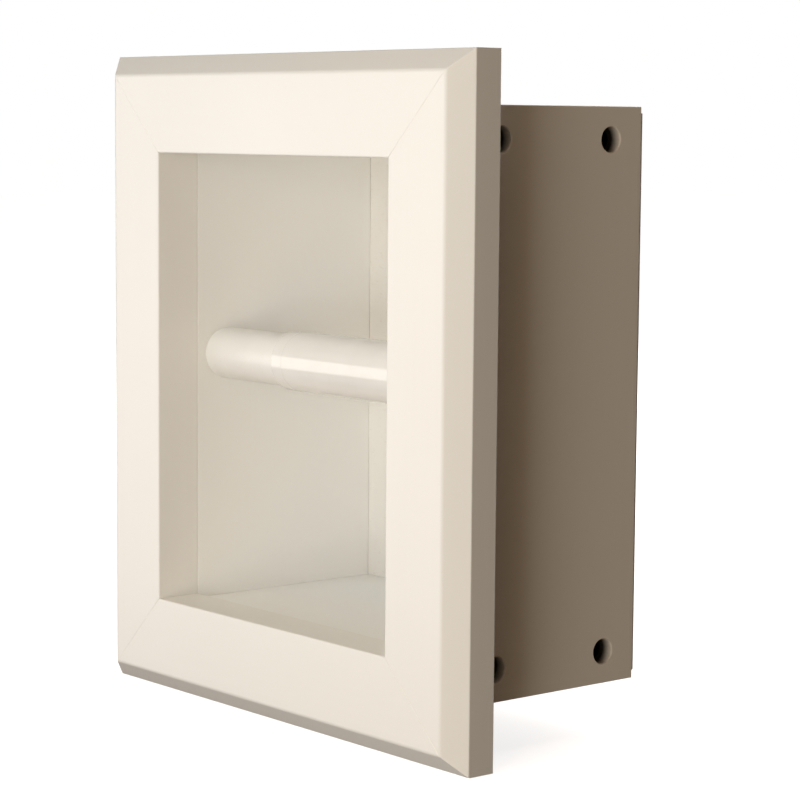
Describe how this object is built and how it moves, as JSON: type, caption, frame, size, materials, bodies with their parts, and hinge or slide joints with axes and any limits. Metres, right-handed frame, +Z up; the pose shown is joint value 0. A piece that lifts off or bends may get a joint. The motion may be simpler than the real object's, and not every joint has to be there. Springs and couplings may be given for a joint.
{
  "type": "recessed toilet paper holder",
  "caption": "Painted wooden wall niche with a mitred, bevelled face frame and a sprung two-part plastic roller that carries a toilet roll across the box.",
  "frame": {"origin": "the middle of the opening, in the plane of the finished wall, which is the back of the face frame", "axes": "+X to the right seen from the room, +Y into the wall, +Z up"},
  "size_m": [0.2182, 0.1112, 0.254],
  "materials": {
    "frame_paint": "pine boards with brushed satin white paint",
    "box_paint": "pine boards with brushed eggshell white paint",
    "back_board": "thin hardboard, painted eggshell white",
    "white_plastic": "moulded, smooth and glossy",
    "black_steel": "black phosphate",
    "bright_steel": "bright wire",
    "spring_steel": "zinc plated wire",
    "filler": "sanded filler under paint"
  },
  "bodies": {
    "niche": {"stile_left": "frame_paint", "stile_right": "frame_paint", "rail_top": "frame_paint", "rail_bottom": "frame_paint", "mitre_nails_top": "bright_steel", "mitre_nails_bottom": "bright_steel", "side_panel_left": "box_paint", "side_panel_right": "box_paint", "top_panel": "box_paint", "bottom_panel": "box_paint", "back_panel": "back_board", "box_screws_left": "black_steel", "box_screws_right": "black_steel", "frame_nails_sides": "bright_steel", "frame_nails_top": "bright_steel", "frame_nails_bottom": "bright_steel", "nail_hole_filler": "filler", "back_panel_staples": "bright_steel"},
    "roller": {"roller_thick_half": "white_plastic", "roller_spring": "spring_steel"},
    "plunger": {"roller_thin_half": "white_plastic"}
  },
  "joints": [
    {"name": "roller_spin", "type": "hinge", "parent": "niche", "child": "roller", "pos_m": [0, 0.01095, 0.009], "axis": [1, 0, 0], "continuous": true},
    {"name": "roller_press", "type": "slide", "parent": "roller", "child": "plunger", "axis": [1, 0, 0], "range_m": [0, 0.04], "stiffness_N_per_m": 250, "springref_m": -0.02, "deforming": ["roller_spring"]}
  ]
}
